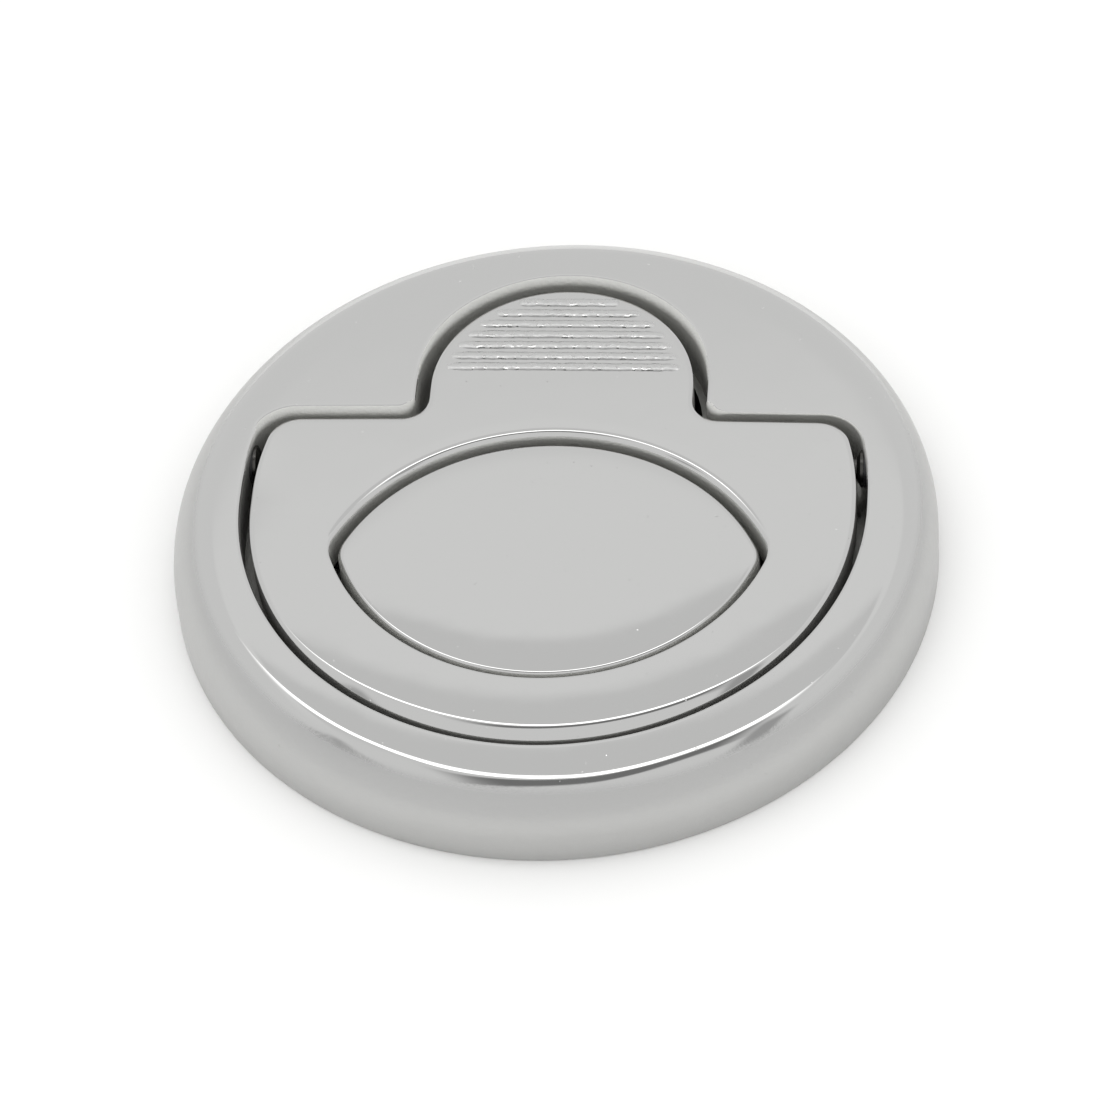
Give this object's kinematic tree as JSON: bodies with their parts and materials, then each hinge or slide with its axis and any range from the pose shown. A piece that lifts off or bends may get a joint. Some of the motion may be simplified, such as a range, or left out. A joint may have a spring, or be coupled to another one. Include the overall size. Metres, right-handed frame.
{
  "type": "flush ring pull",
  "caption": "Round flush ring pull in polished steel: press the ribbed thumb tab and the lift ring tips up round a fixed lens-shaped centre.",
  "frame": {"origin": "centre of the face that sits on the panel, in the plane of the bezel's rim", "axes": "+Z out of the panel, +X along the hinge, +Y from the hinge towards the ribbed thumb tab"},
  "size_m": [0.065, 0.065, 0.0234],
  "materials": {
    "polished_casting": "polished cast stainless steel",
    "satin_casting": "bead-blasted cast stainless steel",
    "turned_steel": "turned and centreless-ground stainless steel",
    "spring_steel": "rolled stainless spring strip",
    "screw_steel": "cold-headed stainless steel",
    "acetal": "moulded natural acetal",
    "nitrile_rubber": "moulded black nitrile rubber"
  },
  "bodies": {
    "housing": {"bezel": "polished_casting", "base_pan": "satin_casting", "centre_island": "polished_casting", "tab_stop_pad": "nitrile_rubber", "panel_gasket": "nitrile_rubber", "hinge_bush_left": "acetal", "hinge_bush_right": "acetal", "spring_washer_left": "spring_steel", "spring_washer_right": "spring_steel", "ring_pad_left": "nitrile_rubber", "ring_pad_right": "nitrile_rubber", "base_screw_1": "screw_steel", "base_screw_2": "screw_steel", "base_screw_3": "screw_steel", "base_screw_4": "screw_steel", "island_screw_1": "screw_steel", "island_screw_2": "screw_steel"},
    "ring": {"lift_ring": "polished_casting", "hinge_pin_left": "turned_steel", "hinge_pin_right": "turned_steel"}
  },
  "joints": [
    {"name": "ring_hinge", "type": "hinge", "parent": "housing", "child": "ring", "pos_m": [0, 0.006, 0.0052], "axis": [-1, 0, 0], "range_deg": [0, 90]}
  ]
}
